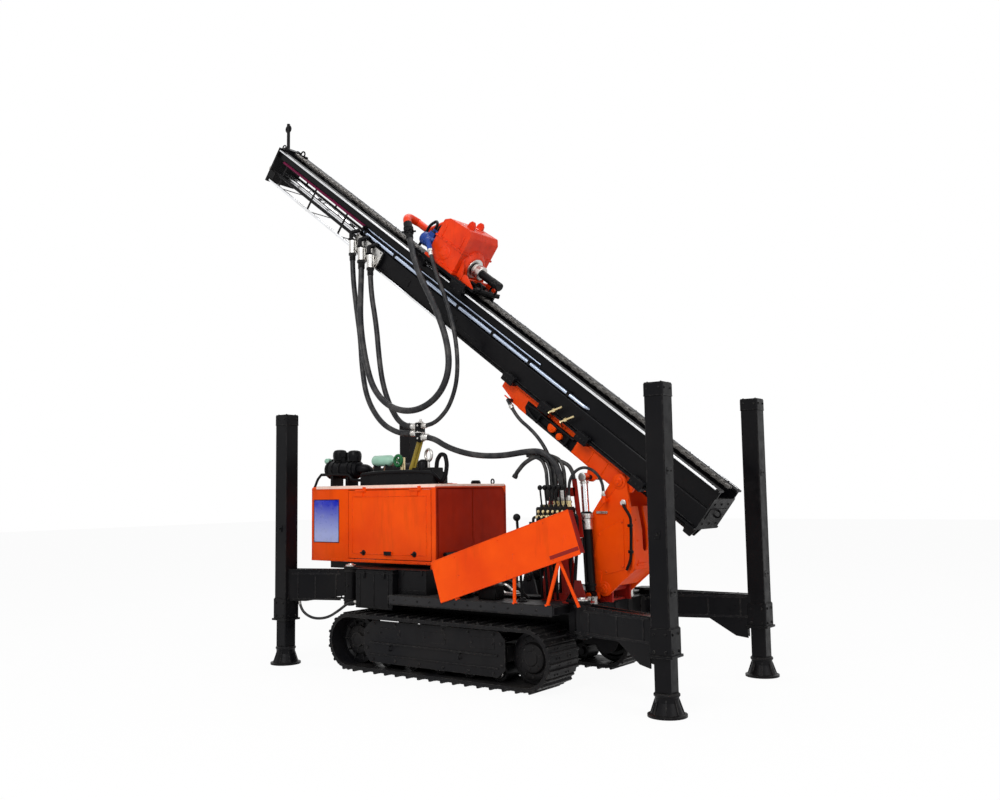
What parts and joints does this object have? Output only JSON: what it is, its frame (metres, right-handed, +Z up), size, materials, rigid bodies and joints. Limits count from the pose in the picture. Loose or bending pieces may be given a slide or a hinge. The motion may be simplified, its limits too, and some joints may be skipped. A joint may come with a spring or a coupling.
{
  "type": "crawler water well drilling rig",
  "caption": "Crawler drilling rig with a slanted mast on a hinged boom, a rotary head on the mast, an engine hood and tall outrigger legs with round feet.",
  "frame": {"origin": "on the ground, under the middle of the machine's length and width", "axes": "+X to the drilling end, +Y to the machine's left side, +Z up"},
  "size_m": [5.0824, 1.9496, 5.4931],
  "materials": {
    "black_steel": "satin black paint",
    "dark_steel": "worn dark grey paint",
    "orange_paint": "gloss orange paint",
    "red_paint": "dark red paint",
    "blue_paint": "blue hydraulic motor paint",
    "polished_rod": "hard chrome",
    "bare_steel": "oiled steel",
    "chain_steel": "greased chain",
    "hose_rubber": "matt black hose",
    "engine_iron": "cast block"
  },
  "bodies": {
    "chassis": {"main_frame": "black_steel", "front_deck": "dark_steel", "boom_bracket": "red_paint", "right_fender": "dark_steel", "left_fender": "dark_steel", "right_track": "dark_steel", "left_track": "dark_steel", "right_track_wheels": "black_steel", "left_track_wheels": "black_steel", "right_track_frame": "dark_steel", "left_track_frame": "dark_steel", "engine_hood": "orange_paint", "engine": "engine_iron", "air_cleaner": "black_steel", "exhaust": "black_steel", "hood_rack": "black_steel", "right_side_boxes": "black_steel", "left_side_boxes": "black_steel", "side_panel": "orange_paint", "valve_stand": "red_paint", "valve_bank": "dark_steel", "deck_hose": "hose_rubber", "cradle_hose": "hose_rubber", "boom_hose": "hose_rubber", "leg_hose": "hose_rubber"},
    "right_hood_door": {"right_hood_door": "orange_paint"},
    "left_hood_door": {"left_hood_door": "orange_paint"},
    "boom": {"boom": "orange_paint"},
    "boom_cylinder_barrel": {"boom_cylinder_barrel": "black_steel"},
    "boom_cylinder_rod": {"boom_cylinder_rod": "polished_rod"},
    "tilt_cylinder_barrels": {"tilt_cylinder_barrels": "black_steel"},
    "tilt_cylinder_rods": {"tilt_cylinder_rods": "polished_rod"},
    "cradle": {"cradle": "orange_paint", "slide_cylinder_barrel": "black_steel"},
    "mast": {"slide_cylinder_rod": "polished_rod", "mast_beam": "black_steel", "feed_cylinder": "polished_rod", "crown": "black_steel", "crown_sheave": "bare_steel", "feed_chain": "chain_steel", "hose_bracket": "bare_steel", "head_air_hose": "hose_rubber", "head_oil_hose": "hose_rubber", "mast_long_hose": "hose_rubber", "mast_short_hose": "hose_rubber"},
    "rotary_head": {"head_carriage": "bare_steel", "rotary_gearbox": "orange_paint", "drive_motors": "blue_paint", "swivel": "orange_paint"},
    "spindle": {"spindle": "black_steel"},
    "front_right_outrigger": {"front_right_outrigger": "black_steel"},
    "front_right_leg": {"front_right_leg": "black_steel"},
    "front_left_outrigger": {"front_left_outrigger": "black_steel"},
    "front_left_leg": {"front_left_leg": "black_steel"},
    "rear_right_outrigger": {"rear_right_outrigger": "black_steel"},
    "rear_right_leg": {"rear_right_leg": "black_steel"},
    "rear_left_outrigger": {"rear_left_outrigger": "black_steel"},
    "rear_left_leg": {"rear_left_leg": "black_steel"}
  },
  "joints": [
    {"name": "boom_hinge", "type": "hinge", "parent": "chassis", "child": "boom", "pos_m": [1.53552, 0, 0.745], "axis": [0, 1, 0], "range_deg": [-10, 14.3], "deforming": ["boom_hose", "deck_hose"]},
    {"name": "boom_cylinder_pivot", "type": "hinge", "parent": "chassis", "child": "boom_cylinder_barrel", "pos_m": [0.73552, 0, 0.8], "axis": [0, 1, 0], "range_deg": [-3.05, 3.93]},
    {"name": "boom_cylinder_stroke", "type": "slide", "parent": "boom_cylinder_barrel", "child": "boom_cylinder_rod", "axis": [0.833, 0, 0.5532], "range_m": [-0.0893, 0.1256]},
    {"name": "mast_tilt", "type": "hinge", "parent": "boom", "child": "cradle", "pos_m": [1.69552, 0, 1.58], "axis": [0, 1, 0], "range_deg": [-27.2, 38.5], "deforming": ["mast_long_hose", "mast_short_hose", "cradle_hose"]},
    {"name": "tilt_cylinder_pivot", "type": "hinge", "parent": "boom", "child": "tilt_cylinder_barrels", "pos_m": [1.45552, 0, 0.7], "axis": [0, 1, 0], "range_deg": [-3.14, 4.03]},
    {"name": "tilt_cylinder_stroke", "type": "slide", "parent": "tilt_cylinder_barrels", "child": "tilt_cylinder_rods", "axis": [-0.0434, 0, 0.9991], "range_m": [-0.1299, 0.1818]},
    {"name": "mast_slide", "type": "slide", "parent": "cradle", "child": "mast", "axis": [0.7965, 0, -0.6046], "range_m": [-0.35, 0.65]},
    {"name": "head_feed", "type": "slide", "parent": "mast", "child": "rotary_head", "axis": [-0.7965, 0, 0.6046], "range_m": [-2.55, 0.72], "deforming": ["head_air_hose", "head_oil_hose"]},
    {"name": "spindle_turn", "type": "hinge", "parent": "rotary_head", "child": "spindle", "pos_m": [0.43069, 0, 3.32796], "axis": [0.7965, 0, -0.6046], "continuous": true},
    {"name": "right_door_hinge", "type": "hinge", "parent": "chassis", "child": "right_hood_door", "pos_m": [0.48552, -0.5195, 1.541], "axis": [-1, 0, 0], "range_deg": [0, 85]},
    {"name": "left_door_hinge", "type": "hinge", "parent": "chassis", "child": "left_hood_door", "pos_m": [0.48552, 0.5195, 1.541], "axis": [1, 0, 0], "range_deg": [0, 85]},
    {"name": "front_right_outrigger_swing", "type": "hinge", "parent": "chassis", "child": "front_right_outrigger", "pos_m": [1.60552, -0.62, 0], "axis": [0, 0, -1], "range_deg": [0, 45]},
    {"name": "front_right_jack", "type": "slide", "parent": "front_right_outrigger", "child": "front_right_leg", "axis": [0, 0, -1], "range_m": [-0.2, 1.1]},
    {"name": "front_left_outrigger_swing", "type": "hinge", "parent": "chassis", "child": "front_left_outrigger", "pos_m": [1.60552, 0.62, 0], "axis": [0, 0, 1], "range_deg": [0, 45]},
    {"name": "front_left_jack", "type": "slide", "parent": "front_left_outrigger", "child": "front_left_leg", "axis": [0, 0, -1], "range_m": [-0.2, 1.1]},
    {"name": "rear_right_outrigger_swing", "type": "hinge", "parent": "chassis", "child": "rear_right_outrigger", "pos_m": [-0.81448, -0.62, 0], "axis": [0, 0, 1], "range_deg": [0, 45], "deforming": ["leg_hose"]},
    {"name": "rear_right_jack", "type": "slide", "parent": "rear_right_outrigger", "child": "rear_right_leg", "axis": [0, 0, -1], "range_m": [-0.2, 1.1]},
    {"name": "rear_left_outrigger_swing", "type": "hinge", "parent": "chassis", "child": "rear_left_outrigger", "pos_m": [-0.81448, 0.62, 0], "axis": [0, 0, -1], "range_deg": [0, 45]},
    {"name": "rear_left_jack", "type": "slide", "parent": "rear_left_outrigger", "child": "rear_left_leg", "axis": [0, 0, -1], "range_m": [-0.2, 1.1]}
  ],
  "couplings": [
    {"joint": "boom_cylinder_pivot", "follows": "boom_hinge", "ratio": 0.20489},
    {"joint": "boom_cylinder_stroke", "follows": "boom_hinge", "m_per_rad": 0.48316},
    {"joint": "tilt_cylinder_pivot", "follows": "mast_tilt", "ratio": 0.07872},
    {"joint": "tilt_cylinder_stroke", "follows": "mast_tilt", "m_per_rad": 0.26314}
  ]
}
